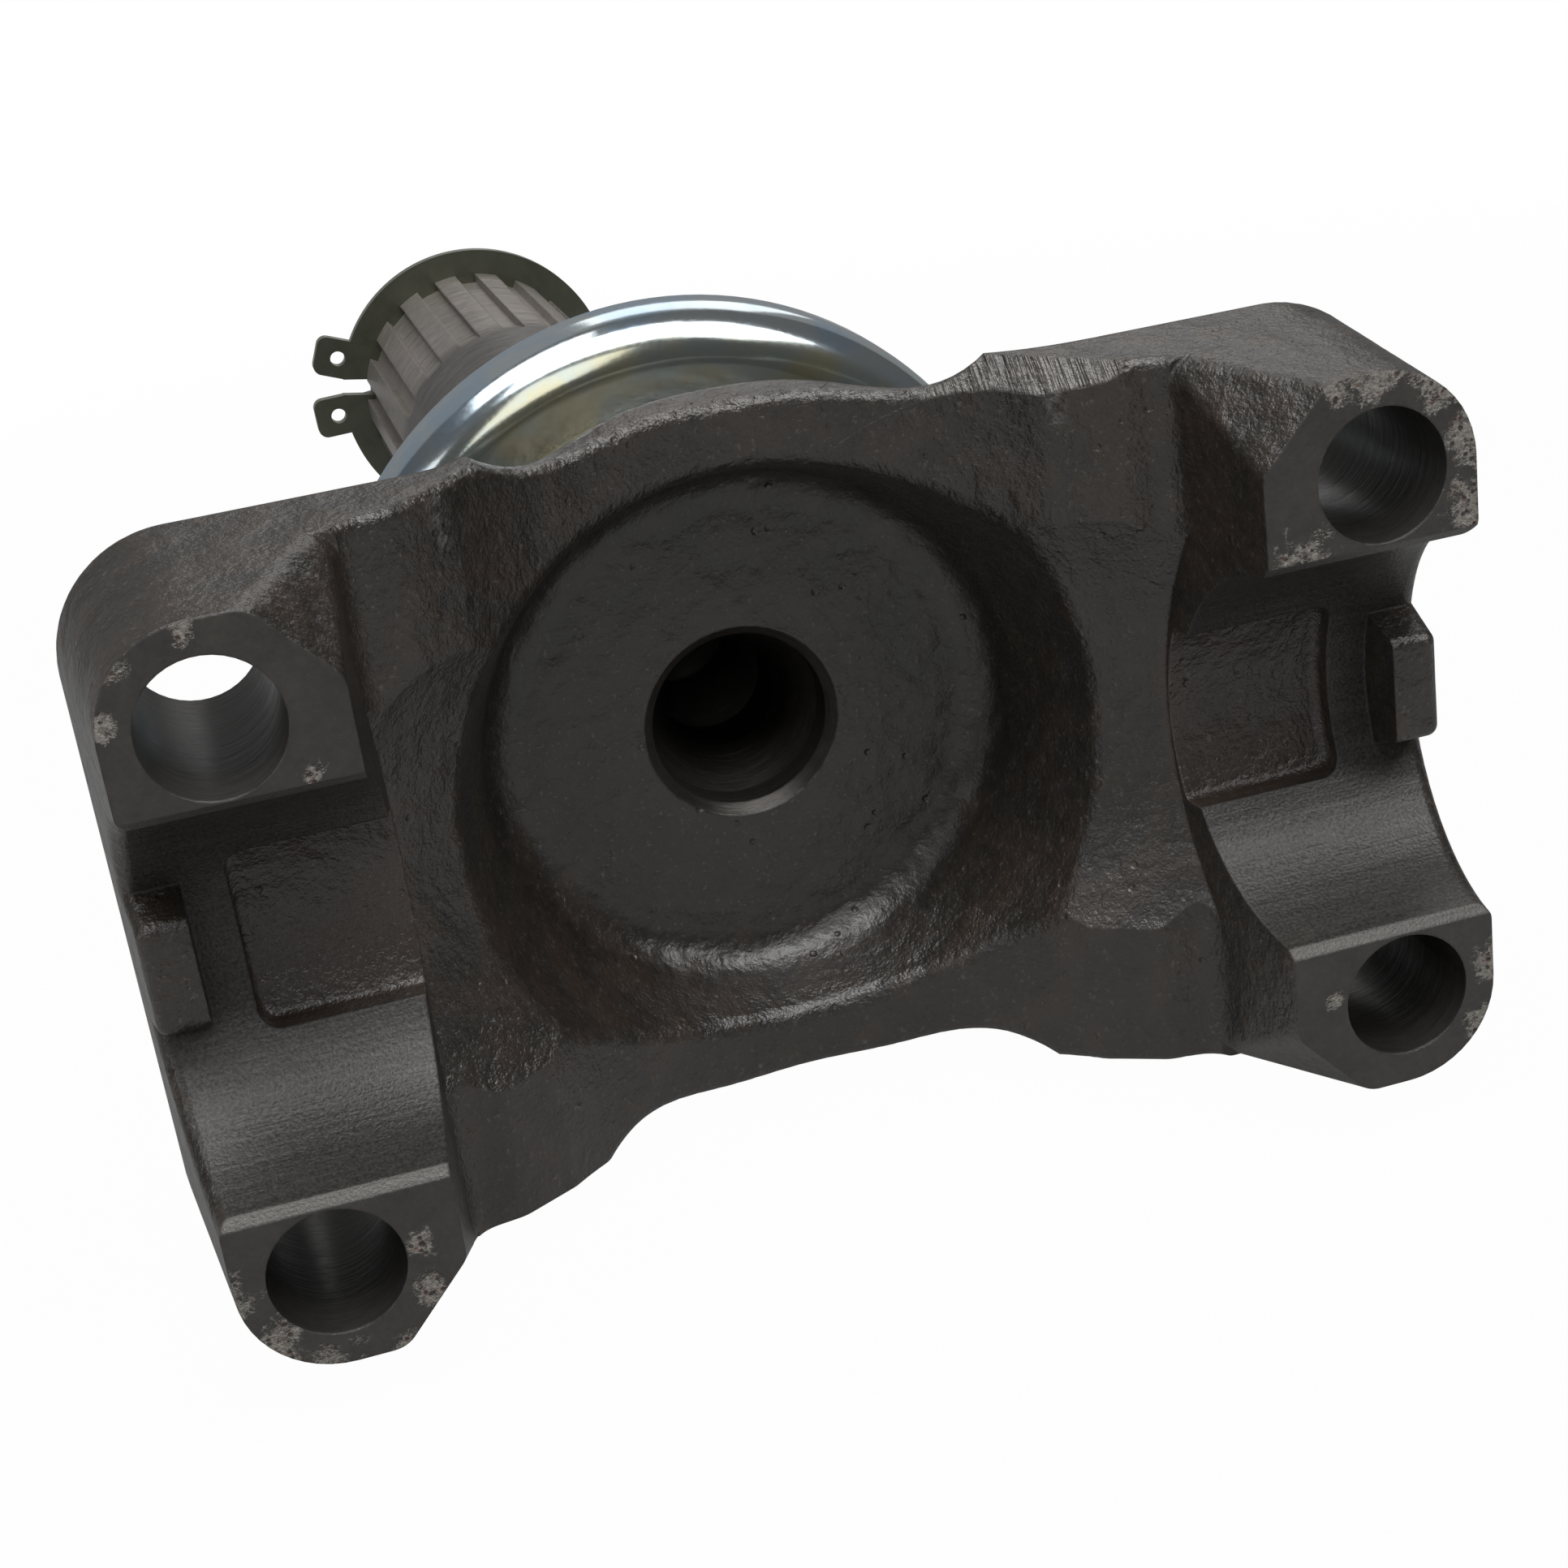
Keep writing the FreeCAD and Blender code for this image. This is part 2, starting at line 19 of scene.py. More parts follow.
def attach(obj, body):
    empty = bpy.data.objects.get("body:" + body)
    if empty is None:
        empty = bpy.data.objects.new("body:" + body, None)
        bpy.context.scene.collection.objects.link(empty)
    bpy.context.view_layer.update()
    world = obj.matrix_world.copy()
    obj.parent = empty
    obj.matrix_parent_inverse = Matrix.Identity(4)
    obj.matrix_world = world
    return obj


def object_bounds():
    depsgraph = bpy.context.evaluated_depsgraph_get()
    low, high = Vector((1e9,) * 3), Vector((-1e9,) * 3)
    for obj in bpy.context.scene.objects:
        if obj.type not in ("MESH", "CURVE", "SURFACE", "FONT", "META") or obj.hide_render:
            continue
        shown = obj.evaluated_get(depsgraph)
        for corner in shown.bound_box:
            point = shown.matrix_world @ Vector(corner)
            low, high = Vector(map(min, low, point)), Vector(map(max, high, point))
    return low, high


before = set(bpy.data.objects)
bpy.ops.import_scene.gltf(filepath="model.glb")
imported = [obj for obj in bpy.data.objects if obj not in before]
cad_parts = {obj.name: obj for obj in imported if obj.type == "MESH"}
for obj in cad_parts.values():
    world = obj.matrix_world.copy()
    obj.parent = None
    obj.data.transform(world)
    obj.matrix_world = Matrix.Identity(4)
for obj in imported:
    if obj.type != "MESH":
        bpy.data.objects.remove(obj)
cad_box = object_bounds()
print("CAD nodes:", sorted(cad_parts))
print("box in mm:", [round(v * 1000, 1) for corner in cad_box for v in corner])

# %% [markdown]
# ## The camera
#
# The picture looks at the open side of the head from the left and from above, from close by, so the
# near arm looks much larger than the far one. A long lens would flatten that. The camera is placed
# by its own three axes: right, up and forward.

# %% Camera
camera_place = Vector((-0.04097, -0.16688, 0.07885))
camera_right = Vector((0.9555, -0.264, -0.1318)).normalized()
camera_forward = Vector((0.1966, 0.9027, -0.3828)).normalized()
camera_up = camera_right.cross(camera_forward).normalized()
camera_right = camera_forward.cross(camera_up)


def aimed(right, up, forward, place):
    """Matrix of an object that looks along its own -Z, as cameras and lamps do."""
    turn = Matrix((right, up, -forward)).transposed().to_4x4()
    return Matrix.Translation(place) @ turn


bpy.ops.object.select_all(action="DESELECT")
bpy.ops.object.camera_add()
camera = bpy.context.object
camera.name = "camera"
camera.matrix_world = aimed(camera_right, camera_up, camera_forward, camera_place)
camera.data.sensor_width = 36.0
camera.data.lens = 60.70
camera.data.clip_start = 0.01
camera.data.dof.use_dof = False
bpy.context.scene.camera = camera
bpy.context.scene.view_settings.view_transform = "Standard"
print("camera", [round(v, 4) for v in camera.location], "lens", camera.data.lens)

# %% [markdown]
# ## Writing a material as arithmetic
#
# A finish such as forged scale is easier to read as a formula than as a drawing of wires. `Wire`
# wraps one socket of a material, and the usual signs add the Math nodes. `Finish` owns the material
# and has one method that adds any other node.


# %% Wires and finishes
class Wire:
    """A number that varies over a surface, and that can be used like any other number."""

    def __init__(self, finish, socket):
        self.finish = finish
        self.socket = socket

    def _math(self, operation, *terms):
        return self.finish.add("Math", {"operation": operation}, dict(enumerate(terms)))

    def __add__(self, other):
        return self._math("ADD", self, other)

    def __sub__(self, other):
        return self._math("SUBTRACT", self, other)

    def __rsub__(self, other):
        return self._math("SUBTRACT", other, self)

    def __mul__(self, other):
        return self._math("MULTIPLY", self, other)

    def __pow__(self, other):
        return self._math("POWER", self, other)

    def __abs__(self):
        return self._math("ABSOLUTE", self)

    def swing(self, amount):
        """A pattern around 0.5, turned into one that swings around 0 by so much."""
        return (self - 0.5) * amount


class Finish:
    """One material, made of nodes."""

    def __init__(self, name):
        self.material = bpy.data.materials.new(name)
        self.material.use_nodes = True
        self.tree = self.material.node_tree
        self.tree.nodes.clear()

    def add(self, kind, settings, sockets, out=0):
        """A node of a kind, with its settings set first and its sockets filled or wired."""
        node = self.tree.nodes.new("ShaderNode" + kind)
        for key, value in settings.items():
            setattr(node, key, value)
        for key, value in sockets.items():
            if isinstance(value, Wire):
                self.tree.links.new(value.socket, node.inputs[key])
            elif isinstance(value, tuple) and len(value) == 3 and node.inputs[key].type == "RGBA":
                node.inputs[key].default_value = (*value, 1.0)
            else:
                node.inputs[key].default_value = value
        return Wire(self, node.outputs[out]) if node.outputs else None

    def place(self):
        """x, y and z of a point in millimetres, in the frame of the object."""
        here = self.add("TexCoord", {}, {}, "Object")
        parts = [self.add("SeparateXYZ", {}, {0: here}, axis) for axis in "XYZ"]
        return [part * 1000.0 for part in parts]

    def point(self, x, y, z):
        """Three numbers joined to a point, to look up a pattern there."""
        return self.add("CombineXYZ", {}, {"X": x, "Y": y, "Z": z})

    def step(self, value, low, high):
        """0 below low and 1 above high, with a soft step between them."""
        return self.add("MapRange", {"interpolation_type": "SMOOTHSTEP"},
                        {"Value": value, "From Min": low, "From Max": high})

    def over(self, value, limit, soft=0.1):
        """1 where the value is over the limit."""
        return self.step(value, limit, limit + soft)

    def under(self, value, limit, soft=0.1):
        """1 where the value is under the limit."""
        return 1.0 - self.step(value, limit - soft, limit)

    def noise(self, point, per_mm, detail=2.0, roughness=0.5, warp=0.0):
        """Cloudy pattern around 0.5, with so many lumps to the millimetre."""
        return self.add("TexNoise", {}, {"Vector": point, "Scale": per_mm, "Detail": detail,
                                         "Roughness": roughness, "Distortion": warp}, "Fac")

    def cells(self, point, per_mm):
        """Distance to the nearest of some scattered points, with so many of them to the millimetre."""
        return self.add("TexVoronoi", {"feature": "F1"}, {"Vector": point, "Scale": per_mm}, "Distance")

    def mix(self, factor, first, second):
        """Colour that goes from the first to the second."""
        return self.add("Mix", {"data_type": "RGBA"}, {0: factor, 6: first, 7: second}, 2)

    def tint(self, colour, factor):
        """A colour made brighter or darker by a number."""
        grey = self.add("CombineColor", {}, {"Red": factor, "Green": factor, "Blue": factor})
        return self.add("VectorMath", {"operation": "MULTIPLY"}, {0: colour, 1: grey})

    def surface(self, sockets, height, normal=None):
        """One surface shader, with its relief in millimetres."""
        relief = {"Height": height, "Strength": 1.0, "Distance": 0.001}
        if normal is not None:
            relief["Normal"] = normal
        return self.add("BsdfPrincipled", {}, dict(sockets, Normal=self.add("Bump", {}, relief)))


def dress(name, material):
    """Puts one material on a CAD node."""
    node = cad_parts[name]
    if node.data.materials:
        for index in range(len(node.data.materials)):
            node.data.materials[index] = material
    else:
        node.data.materials.append(material)
    print(name, "wears", material.name, "with", len(material.node_tree.nodes), "nodes")


# %% [markdown]
# ## Where each surface of the forging is
#
# The head was forged all over, and then only some places were cut: the four bolt faces, the half-round
# seats, the drilled holes, the lathe centre in the dish and the shaft. The cutters were flat or round,
# so each cut place is found again from its distance to a plane or an axis. The trimming die also left
# a facet on one shoulder, which lies in a plane of its own.

# %% Places on the forging
arm_start_x = 30.0
seat_radius = 15.09
seat_axis_y = -0.8
seat_end_y = 15.2
chamfer_leg = 0.68
chamfer_end_y = 0.78
bolt_x = 42.0
bolt_z = 21.0
bolt_hole_r = 5.14
dish_floor_y = 33.95
centre_r = 8.44
centre_end_y = 64.0
shaft_start_y = 46.8
spline_start_y = 133.5
pocket_start_r = 15.3
pocket_half_z = 7.6
pocket_end_x = 43.8
pocket_start_y = 8.0
pocket_end_y = 18.5
dish_r = 26.0
dish_start_y = 28.0
dish_end_y = 40.0
web_front_y = 26.3
web_front_r = 29.89
web_rim_width = 1.25
web_rim_low_z = 24.5
web_rim_end_x = 25.0
facet_low_z = 26.0
facet_start_x = 15.0
facet_end_x = 30.6
facet_points = [Vector(p) for p in ((25.0, 14.45, 27.8), (22.4, 16.3, 27.4), (25.1, 16.1, 29.7))]
facet_sides = [point - facet_points[0] for point in facet_points[1:]]
facet_normal = facet_sides[0].cross(facet_sides[1]).normalized()
facet_offset = facet_normal.dot(facet_points[0])

forging = Finish("forged_scale")
x, y, z = forging.place()
across = abs(x)
beside = abs(z)
spot = forging.point(x, y, z)
seat_distance = (z ** 2.0 + (y - seat_axis_y) ** 2.0) ** 0.5
hole_distance = ((across - bolt_x) ** 2.0 + (beside - bolt_z) ** 2.0) ** 0.5
axis_distance = (x ** 2.0 + z ** 2.0) ** 0.5
facet_height = x * facet_normal.x + y * facet_normal.y + z * facet_normal.z - facet_offset
behind_web = y - ((web_front_r ** 2 - x ** 2.0) ** 0.5 + (web_front_y - web_front_r))

in_arm = forging.over(across, arm_start_x, 0.5)
bolt_face = forging.under(y, 0.08, 0.06)
seat = in_arm * forging.under(abs(seat_distance - seat_radius), 0.12) * forging.under(y, seat_end_y)
chamfer = in_arm * forging.under(abs(beside + y - seat_radius - chamfer_leg), 0.08, 0.05)
chamfer = chamfer * forging.under(y, chamfer_end_y)
bore = forging.under(hole_distance, bolt_hole_r, 0.07) * (1.0 - bolt_face)
centre = forging.under(axis_distance, centre_r) * forging.over(y, dish_floor_y)
centre = centre * forging.under(y, centre_end_y)
shaft = forging.over(y, shaft_start_y)
pocket = in_arm * forging.over(seat_distance, pocket_start_r, 0.4) * forging.under(beside, pocket_half_z, 0.3)
pocket = pocket * forging.under(across, pocket_end_x, 0.4)
pocket = pocket * forging.under(y, pocket_end_y, 1.0) * forging.over(y, pocket_start_y, 1.0)
facet = forging.under(abs(facet_height), 0.12) * forging.over(z, facet_low_z)
facet = facet * forging.under(x, facet_end_x, 0.6) * forging.over(x, facet_start_x, 0.6)
web_rim = forging.over(behind_web, 0.05, 0.3) * forging.under(behind_web, web_rim_width, 0.5)
web_rim = web_rim * forging.over(z, web_rim_low_z, 1.0) * forging.under(across, web_rim_end_x, 2.0)
dish = forging.under(axis_distance, dish_r, 6.0) * forging.over(y, dish_start_y, 3.0)
dish = dish * forging.under(y, dish_end_y)
print("masks for", forging.material.name, "made")

# %% [markdown]
# ## Forged scale
#
# Scale on a hot forging is pressed into the steel by the dies and leaves a leathery skin: lumps of
# 2 to 4 mm, a finer grain on them, and small pits. The dip over it is nearly black and satin, and
# the tops of the grain catch the light as tiny bright specks, which are painted into the colour as
# painted highlights. The dish is smoother, and its colour is darker as painted shade in the hollow.
# A Bevel node rounds the light on the edges without touching the mesh, and shows where the edges
# are; the colour there is painted brighter, partly as handling wear and partly as a painted highlight.

# %% Forged skin
round_edge = forging.add("Bevel", {"samples": 4}, {"Radius": 0.00035})
true_normal = forging.add("NewGeometry", {}, {}, "Normal")
turned_away = forging.add("VectorMath", {"operation": "DOT_PRODUCT"},
                          {0: round_edge, 1: true_normal}, "Value")
lumps = forging.noise(spot, 0.26, 2.0, 0.5)
leather = forging.noise(spot, 0.95, 3.0, 0.6)
grain = forging.noise(spot, 2.6, 2.0, 0.6)
# edges painted brighter: partly handling wear, partly a painted highlight along them
edge_wear_and_highlight = forging.step(1.0 - turned_away, 0.04, 0.3) * forging.step(leather, 0.35, 0.6)
pit = forging.under(forging.cells(spot, 0.5), 0.2, 0.12) * forging.step(lumps, 0.52, 0.62)
comb = forging.noise(forging.point(x, y * 0.06, z * 0.06), 1.5, 3.0, 0.7)

tone = lumps.swing(0.7) + leather.swing(0.6) + grain.swing(0.6) + 1.0
# painted highlight: glints on the tops of the grain, painted into the colour as bright specks
painted_glints = forging.step(grain, 0.58, 0.7) * forging.step(leather, 0.45, 0.6)
warm = forging.step(lumps, 0.42, 0.62)
colour = forging.mix(warm, (0.0255, 0.021, 0.0172), (0.031, 0.0226, 0.0168))
# painted shade: the colour is made darker in the dish, the hollow of the web
colour = forging.tint(colour, tone * (1.0 - dish * 0.22))
colour = forging.mix(pocket * 0.6, colour, (0.045, 0.03, 0.022))
# painted highlight: the glint specks lighten the colour
colour = forging.mix(painted_glints * 0.4, colour, (0.16, 0.148, 0.135))
# edge wear and painted highlight lighten the skin along its edges
colour = forging.mix(edge_wear_and_highlight * 0.85, colour, (0.14, 0.128, 0.117))
colour = forging.mix(facet * forging.step(comb, 0.3, 0.7), colour, (0.15, 0.138, 0.126))
colour = forging.mix(web_rim * forging.step(leather, 0.4, 0.62) * 0.6, colour, (0.15, 0.14, 0.13))
rough = 1.0 - dish * 0.55
relief = lumps.swing(0.5) + rough * (leather.swing(0.15) + grain.swing(0.12)) - pit * 0.1
relief = relief + facet * comb.swing(0.5) + web_rim * leather.swing(0.3)
roughness = leather.swing(0.3) - painted_glints * 0.12 + 0.36
skin = forging.surface({"Base Color": colour, "Roughness": roughness, "Specular IOR Level": 0.9},
                       relief, round_edge)
print("forged skin made,", len(forging.tree.nodes), "nodes so far")

# %% [markdown]
# ## Milled seats
#
# The half-round seats were milled along the arm and look sanded: a fine even sparkle, with a few
# lines along the cutter's path. Their chamfered borders were cut last and stayed a little brighter.

# %% Seats
lines = forging.noise(forging.point(x * 0.04, y, z), 2.0, 2.0, 0.6)
sanded = forging.noise(spot, 4.0, 2.0, 0.6)
colour = forging.tint((0.059, 0.0545, 0.050), sanded.swing(2.4) + lines.swing(0.8) + 1.0)
colour = forging.mix(chamfer * 0.5, colour, (0.09, 0.083, 0.077))
milled = forging.surface({"Base Color": colour, "Roughness": 0.38, "Metallic": 0.3},
                         lines.swing(0.04) + sanded.swing(0.05), round_edge)
print("milled seats made,", len(forging.tree.nodes), "nodes so far")

# %% [markdown]
# ## Bolt faces
#
# The bolt faces were cut while some scale was still on them, so the outer side of each hole kept
# crusty, pitted patches, pale grey with a little rust.

# %% Faces with their crust
patches_of_crust = (
    (46.6, 27.0, 2.6), (49.4, 22.6, 2.6), (49.6, 17.0, 3.0), (41.5, 28.2, 2.2), (35.6, 16.0, 2.2),
    (38.6, 28.0, 1.2), (-49.0, 22.5, 1.2), (-47.2, 26.6, 1.2), (-42.5, 28.0, 1.0), (-36.0, 16.6, 0.9),
    (-50.2, -21.0, 2.4), (-48.0, -26.2, 2.8), (-43.5, -28.8, 2.4), (-38.0, -28.6, 1.6),
    (-36.0, -24.5, 1.5), (-36.0, -20.3, 1.2), (49.4, -19.8, 2.0), (48.4, -25.2, 2.0),
    (36.0, -20.0, 0.8))
border = 0.38
scab = forging.noise(spot, 0.55, 4.0, 0.75)
crust = forging.noise(spot, 1.5, 4.0, 0.75)
patches = 0.0
for patch_x, patch_z, patch_r in patches_of_crust:
    near = ((x - patch_x) ** 2.0 + (z - patch_z) ** 2.0) ** 0.5
    blob = 1.0 - near * ((1.0 - border) / patch_r)
    patches = forging.add("Math", {"operation": "MAXIMUM"}, {0: patches, 1: blob})
worn = forging.step(patches + scab.swing(2.2), border, 0.72)
foam = forging.cells(spot, 1.7)
flecks = worn * forging.step(crust, 0.38, 0.5)
holes = worn * forging.under(foam, 0.36, 0.14)
rust = worn * forging.step(leather, 0.5, 0.58) * forging.under(foam, 0.5, 0.14)
tone = leather.swing(1.0) + lumps.swing(1.0) + grain.swing(0.8) + 1.0
colour = forging.tint((0.036, 0.0308, 0.0262), tone)
colour = forging.mix(worn * 0.6, colour, (0.1, 0.088, 0.078))
colour = forging.mix(flecks, colour, forging.tint((0.28, 0.26, 0.23), grain.swing(1.8) + 1.0))
colour = forging.mix(rust * 0.75, colour, (0.13, 0.045, 0.03))
colour = forging.mix(holes * 0.85, colour, (0.016, 0.012, 0.01))
# edge wear and painted highlight lighten the bolt faces along their edges
colour = forging.mix(edge_wear_and_highlight * 0.5, colour, (0.12, 0.11, 0.10))
relief = leather.swing(0.07) + grain.swing(0.05) + worn * (crust - 0.9) * 0.3 - holes * 0.08
faced = forging.surface({"Base Color": colour, "Roughness": worn * 0.3 + 0.38, "Specular IOR Level": 0.8},
                        relief, round_edge)
print("bolt faces made, with", len(patches_of_crust), "patches of crust")

# %% [markdown]
# ## Drilled and turned surfaces
#
# A drill leaves rings that climb round the wall of its hole, and a lathe leaves rings round the
# shaft. Both show as thin stripes that follow the tool, so the pattern changes along the axis only.
# The lathe centre in the dish is painted darker the deeper it goes, nearly black: painted shade inside the
# hole.

# %% Rings
rings = forging.noise(forging.point(x * 0.09, y + axis_distance * shaft, z * 0.09), 1.7, 4.0, 0.72)
bare = forging.mix(forging.over(y, spline_start_y, 6.0), (0.15, 0.14, 0.13), (0.31, 0.283, 0.26))
# painted shade: the lathe centre darkens to near black deeper into the hole
deep_hole_shade = forging.mix(forging.over(y, 37.0, 5.0), (0.05, 0.045, 0.04), (0.008, 0.007, 0.006))
drilled = forging.mix(centre, (0.052, 0.0475, 0.044), deep_hole_shade)
cut = shaft * 0.4 + 0.6
colour = forging.mix(shaft, drilled, bare)
colour = forging.tint(colour, rings.swing(cut) * 1.6 + leather.swing(0.6) + 1.0)
turned = forging.surface({"Base Color": colour, "Roughness": rings.swing(0.4) + 0.36, "Metallic": 0.5},
                         rings.swing(cut) * 0.12, round_edge)
print("drilled and turned surfaces made,", len(forging.tree.nodes), "nodes so far")

# %% [markdown]
# ## Joining the finishes
#
# A Mix Shader works out only the side that shows, so a surface pays for its own finish alone.

# %% Surface of the forging
whole = forging.add("MixShader", {}, {0: seat + chamfer, 1: skin, 2: milled})
whole = forging.add("MixShader", {}, {0: bore + centre + shaft, 1: whole, 2: turned})
whole = forging.add("MixShader", {}, {0: bolt_face, 1: whole, 2: faced})
forging.add("OutputMaterial", {}, {"Surface": whole})
dress("yoke", forging.material)

# %% [markdown]
# ## The rim of the web
#
# The die that trims the forging leaves a facet on one shoulder. In the CAD model its cutter also takes
# a wedge off the rim of the web, 8 to 15 mm from the middle, where the real rim runs on unbroken. A
# plug will fill the wedge. It has the rim's own section: the round front of the web, a small fillet,
# the waist behind it, and a larger fillet at the back.

# %% Section of the rim
mm = 0.001
draft = math.radians(5.0)
waist_datum_y = -4.0
waist_start = 7
waist_heights = (26.071, 25.970, 25.835, 25.684, 25.537, 25.415, 25.337, 25.328, 25.413, 25.620)
rim_radius = 1.0
rim_lean = 0.087
back_radius = 2.0
back_start_x = 9.76
back_start_y = 27.05
back_recede = 0.72
front_points, front_step = 13, 0.35
arc_points = 8
top_points, top_step = 11, 0.25
into_metal = Vector((0.0, 1.6, -2.6))


def waist_height(along, y):
    """Height of the waist's top, which rises with its draft away from the bolt faces."""
    whole_mm = min(int(along) - waist_start, len(waist_heights) - 2)
    low, high = waist_heights[whole_mm:whole_mm + 2]
    return low + (high - low) * (along - waist_start - whole_mm) + math.tan(draft) * (y - waist_datum_y)


def rim_outline(along):
    """Points of the rim's section and the way out of the metal at each, from below the rim to its back."""
    front = web_front_y - web_front_r + math.sqrt(web_front_r ** 2 - along ** 2)
    back = back_start_y - back_recede * (along - back_start_x)
    middle = Vector((along, front + rim_radius, waist_height(along, front + rim_radius) - rim_radius))
    outline = []
    for n in reversed(range(front_points)):
        outline.append((middle + Vector((0.0, -rim_radius, -front_step * n)), Vector((0.0, -1.0, 0.0))))
    for n in range(1, arc_points + 1):
        turn = (math.radians(90.0) - draft) * n / arc_points
        way = Vector((0.0, -math.cos(turn), math.sin(turn)))
        outline.append((middle + way * rim_radius, way))
    for n in range(1, top_points + 1):
        run = middle.y - rim_lean + top_step * n
        past = min(max(run - back, 0.0), 0.95 * back_radius)
        drop = back_radius - math.sqrt(back_radius ** 2 - past ** 2)
        top = Vector((along, run, waist_height(along, run) - drop))
        outline.append((top, Vector((0.0, -math.tan(draft), 1.0))))
    return outline, middle + into_metal


print("the section has", len(rim_outline(10.0)[0]), "points on its outline")

# %% [markdown]
# ## The plug itself
#
# The plug is one section after another along the rim. It stands a hair proud of the wedge, and sinks
# into the forging where the wedge ends: below the facet's plane, past the wedge's end wall, and
# where the real facet begins. A flat grid is bent to these sections and joined along its seam.

# %% Plug in the rim
wedge_wall = Vector((-0.808, 0.575, -0.124))
wedge_wall_offset = 20.0
fade_start_x = 14.9
fade_slope = 0.35
proud = 0.012
sink_slope = 0.8
deepest = 0.35
plug_start_x = 7.2
plug_length = 8.6
sections = 36


def plug_ring(along):
    """The section of the plug: just proud over the wedge, sunk beyond its edges, and closed in the metal."""
    outline, inside = rim_outline(along)
    ring = []
    for point, way in outline:
        there = point - facet_points[0]
        past_wall = wedge_wall.dot(there) - wedge_wall_offset
        beyond = max(facet_normal.dot(there), past_wall, (along - fade_start_x) * fade_slope, 0.0)
        ring.append(point + way * (proud - min(beyond * sink_slope, deepest)))
    return ring + [inside]


plug_rings = [plug_ring(plug_start_x + plug_length * n / (sections - 1)) for n in range(sections)]
columns = len(plug_rings[0])
first_cap = [plug_rings[0][-1]] * columns
last_cap = [plug_rings[-1][-1]] * columns
plug_rings = [first_cap] + plug_rings + [last_cap]
rows = len(plug_rings) - 1
bpy.ops.object.select_all(action="DESELECT")
bpy.ops.mesh.primitive_grid_add(x_subdivisions=columns, y_subdivisions=rows, size=1.0, location=(0, 0, 0))
plug = bpy.context.object
plug.name = "web_rim"
for vertex in plug.data.vertices:
    column = round((vertex.co.x + 0.5) * columns) % columns
    row = round((vertex.co.y + 0.5) * rows)
    vertex.co = plug_rings[row][column] * mm
bpy.ops.object.mode_set(mode="EDIT")
bpy.ops.mesh.select_all(action="SELECT")
bpy.ops.mesh.remove_doubles(threshold=0.001 * mm)
bpy.ops.mesh.normals_make_consistent(inside=False)
bpy.ops.object.mode_set(mode="OBJECT")
bpy.ops.object.shade_smooth()
plug.data.materials.append(forging.material)
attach(plug, "root")
print("web_rim has", len(plug.data.vertices), "vertices and", len(plug.data.polygons), "faces")

# %% [markdown]
# ## Zinc plate
#
# The slinger was pressed from sheet and plated. Plate is a mirror that has gone slightly milky, with
# a faint rainbow from the passivation: straw in some places and blue in others. The outer flank of
# the rolled rim is painted paler and bluer, a painted reflection of the white backdrop.

# %% Slinger
rolled_rim_r = 29.3
zinc = Finish("zinc_plate")
x, y, z = zinc.place()
spot = zinc.point(x, y, z)
cloud = zinc.noise(spot, 0.12, 3.0, 0.6, 0.4)
fine = zinc.noise(spot, 3.0, 3.0, 0.6)
radius = (x ** 2.0 + z ** 2.0) ** 0.5
rings = zinc.noise(zinc.point(radius, y * 0.4, 0.0), 1.4, 3.0, 0.6)
# painted reflection: the outer flank of the rolled rim, where the white backdrop is painted in
painted_rim_reflection = zinc.over(radius, rolled_rim_r, 1.2)
inner = zinc.mix(zinc.step(cloud, 0.4, 0.6), (0.50, 0.56, 0.53), (0.58, 0.56, 0.40))
# painted reflection: paler, bluer colours for the rim's outer flank
rim = zinc.mix(zinc.step(cloud, 0.4, 0.6), (0.66, 0.72, 0.74), (0.55, 0.68, 0.80))
colour = zinc.tint(zinc.mix(painted_rim_reflection, inner, rim), fine.swing(0.15) + 1.0)
roughness = cloud.swing(0.12) + fine.swing(0.1) + 0.14
plate = zinc.surface({"Base Color": colour, "Metallic": 0.88, "Roughness": roughness},
                     fine.swing(0.003) + rings.swing(0.008))
zinc.add("OutputMaterial", {}, {"Surface": plate})
dress("dust_slinger", zinc.material)

# %% [markdown]
# ## Spring steel
#
# The ring was stamped, hardened and oiled: dark, a little green, with paler stamped edges.

# %% Snap ring
ring_middle_y = 172.05
spring = Finish("spring_steel")
x, y, z = spring.place()
spot = spring.point(x, y, z)
cloud = spring.noise(spot, 0.35, 3.0, 0.6)
fine = spring.noise(spot, 4.0, 2.0, 0.6)
rim = spring.step(abs(y - ring_middle_y), 0.55, 0.74)
colour = spring.mix(rim, (0.42, 0.44, 0.38), (0.16, 0.17, 0.13))
colour = spring.tint(colour, cloud.swing(0.6) + 1.0)
stamped = spring.surface({"Base Color": colour, "Metallic": 0.9, "Roughness": fine.swing(0.2) + 0.34},
                         fine.swing(0.012))
spring.add("OutputMaterial", {}, {"Surface": stamped})
dress("snap_ring", spring.material)

# %% [markdown]
# ## Floor and light
#
# The picture was taken on white, with large soft lights above and weak ones in front, at the side and
# behind. The floor and the backdrop are white to the camera, paler than the metal in reflections, and
# grey card to everything else, so that the hollows of the forging stay as dark as in the picture. The
# floor keeps a faint shadow.

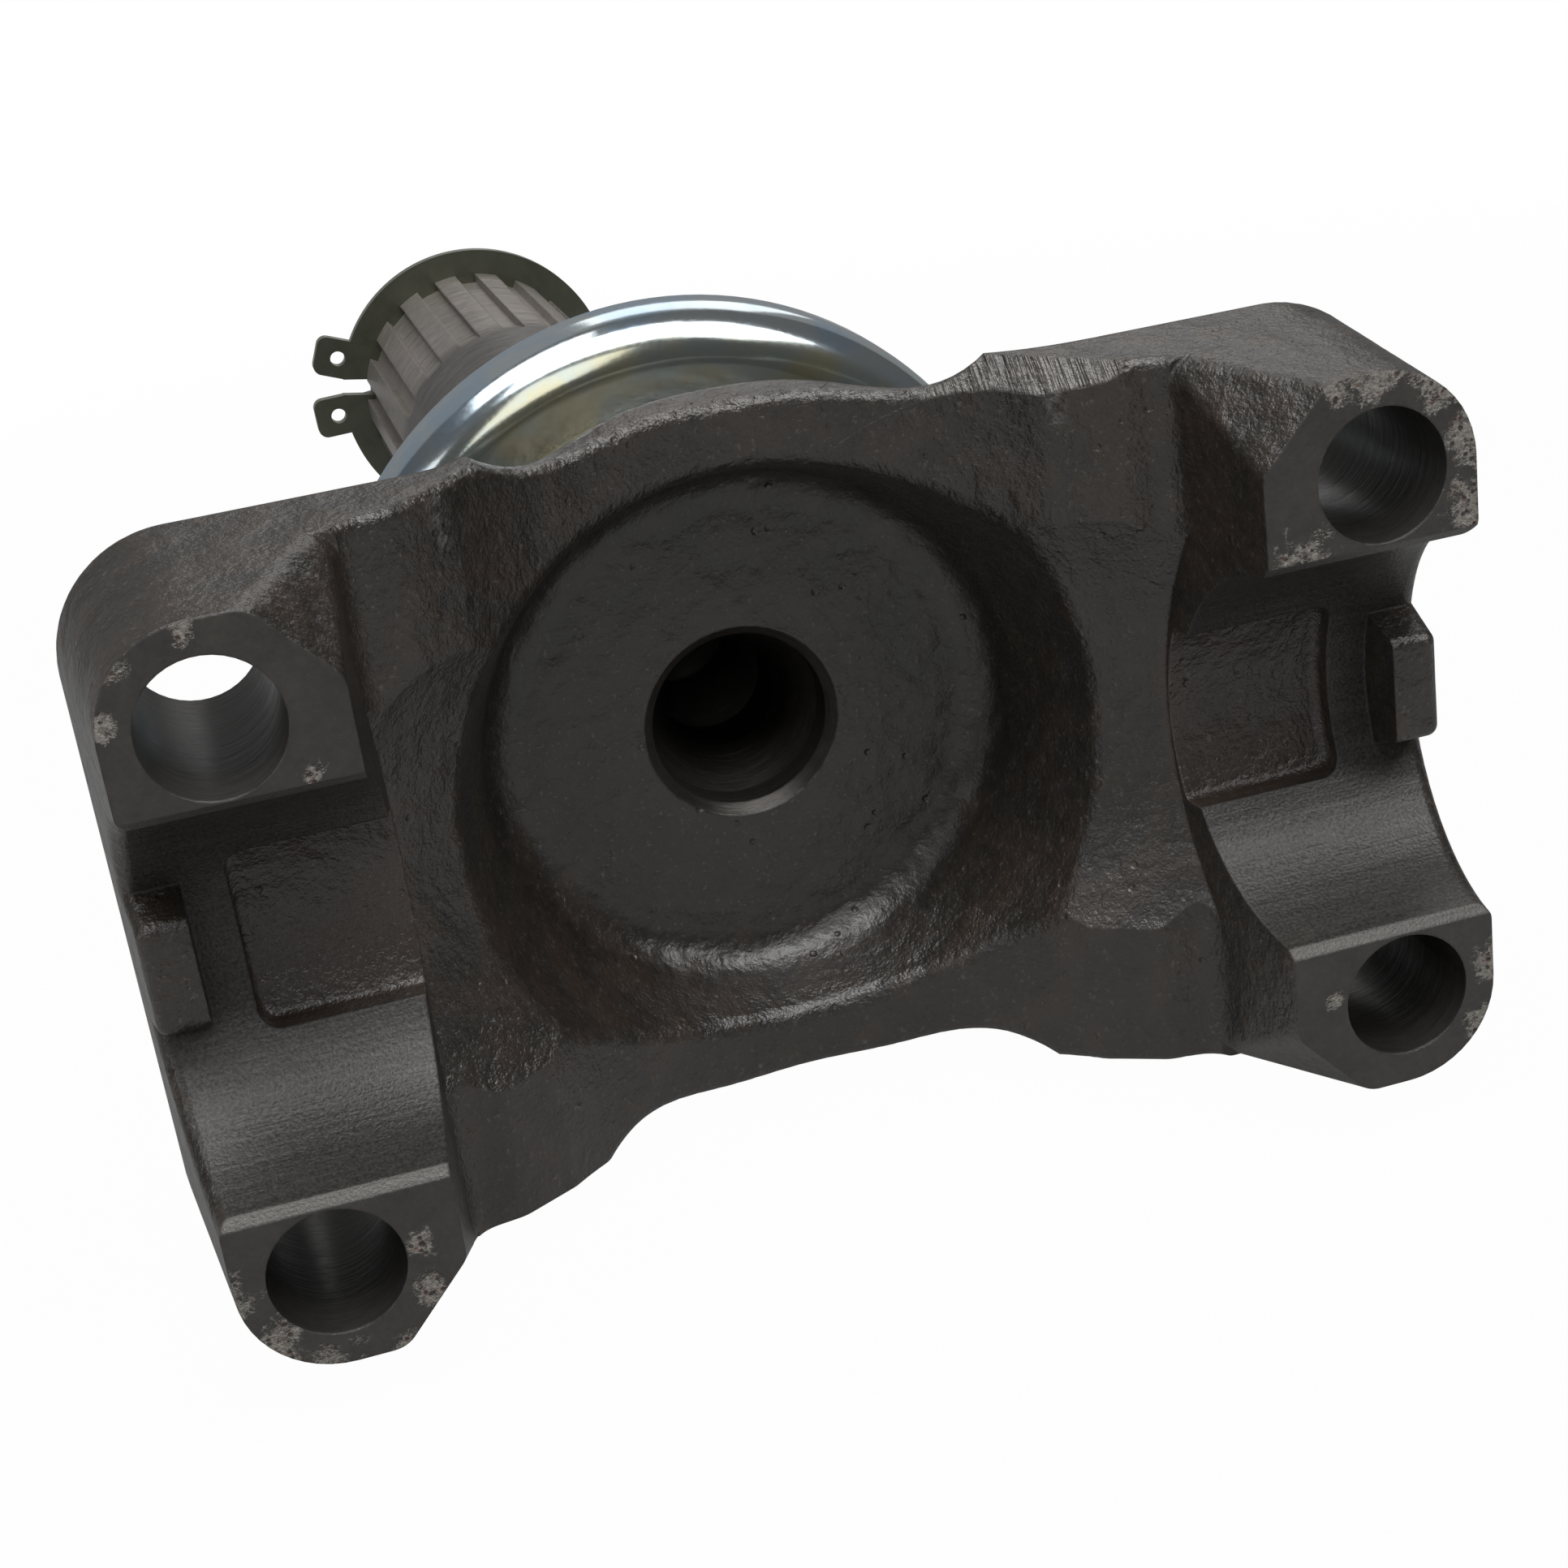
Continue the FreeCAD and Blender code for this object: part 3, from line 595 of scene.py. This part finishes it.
# %% Floor and backdrop
white = Finish("white_paper")
here = white.place()
path = white.add("LightPath", {}, {}, "Is Camera Ray")
glossy = Wire(white, path.socket.node.outputs["Is Glossy Ray"])
through = Wire(white, path.socket.node.outputs["Is Transmission Ray"])
seen = white.add("Math", {"operation": "MINIMUM"}, {0: path + glossy * 0.18 + through, 1: 1.0})
far = white.step((here[0] ** 2.0 + here[1] ** 2.0) ** 0.5, 200.0, 450.0)
matt = white.add("BsdfDiffuse", {}, {"Color": (0.3, 0.3, 0.3)})
glow = white.add("Emission", {}, {"Color": (1.0, 1.0, 1.0), "Strength": 1.0})
both = white.add("MixShader", {}, {0: seen * (far * 0.02 + 0.98), 1: matt, 2: glow})
white.add("OutputMaterial", {}, {"Surface": both})
floor_z = cad_box[0].z - 0.0001
for name, place, turn in (("studio_floor", (0, 0.8, floor_z), (0, 0, 0)),
                          ("studio_backdrop", (0, 1.8, floor_z + 1.2), (math.radians(90), 0, 0))):
    bpy.ops.mesh.primitive_plane_add(size=5.0, location=place, rotation=turn)
    sheet = bpy.context.object
    sheet.name = name
    bpy.ops.object.transform_apply(location=True, rotation=True, scale=True)
    sheet.data.materials.append(white.material)
    print(name, "stands at", [round(v, 3) for v in place])

# %% [markdown]
# ## Lamps
#
# Each lamp is a soft box at the same distance from the head. Its direction is told as the camera sees
# it: to the right, up, and toward the camera.

# %% Lamps and world
target = Vector((0.0, 0.03, 0.0))
lamp_distance = 0.8


def soft_lamp(name, right, up, toward, width, height, strength):
    """Soft box at so much to the right, above and in front of the object, as the camera sees it."""
    way = (camera_right * right + camera_up * up - camera_forward * toward).normalized()
    side = way.cross(camera_forward if abs(way.dot(camera_forward)) < 0.9 else camera_up).normalized()
    bpy.ops.object.light_add(type="AREA")
    lamp = bpy.context.object
    lamp.name = name
    lamp.matrix_world = aimed(side, side.cross(-way), -way, target + way * lamp_distance)
    lamp.data.shape = "RECTANGLE"
    lamp.data.size = width
    lamp.data.size_y = height
    lamp.data.energy = strength


soft_lamp("overhead_box", -0.1, 1.0, 0.85, 0.5, 0.45, 3.6)
soft_lamp("overhead_left_box", -0.5, 1.0, 0.45, 0.4, 0.4, 1.3)
soft_lamp("overhead_right_box", 0.6, 1.0, 0.9, 0.4, 0.4, 1.9)
soft_lamp("front_box", 0.0, 0.25, 1.0, 0.35, 0.35, 0.65)
soft_lamp("side_box", -0.9, 0.1, 0.8, 0.4, 0.4, 0.7)
soft_lamp("back_box", 0.0, 1.0, -0.5, 0.45, 0.45, 0.8)
world = bpy.data.worlds.new("studio")
world.use_nodes = True
bpy.context.scene.world = world
nodes = world.node_tree.nodes
links = world.node_tree.links
nodes.clear()
room = nodes.new("ShaderNodeBackground")
room.inputs["Color"].default_value = (1.0, 1.0, 1.0, 1.0)
room.inputs["Strength"].default_value = 0.02
backdrop = nodes.new("ShaderNodeBackground")
backdrop.inputs["Strength"].default_value = 1.0
backdrop.inputs["Color"].default_value = (1.0, 1.0, 1.0, 1.0)
camera_ray = nodes.new("ShaderNodeLightPath")
choice = nodes.new("ShaderNodeMixShader")
out = nodes.new("ShaderNodeOutputWorld")
links.new(camera_ray.outputs["Is Camera Ray"], choice.inputs[0])
links.new(room.outputs[0], choice.inputs[1])
links.new(backdrop.outputs[0], choice.inputs[2])
links.new(choice.outputs[0], out.inputs["Surface"])
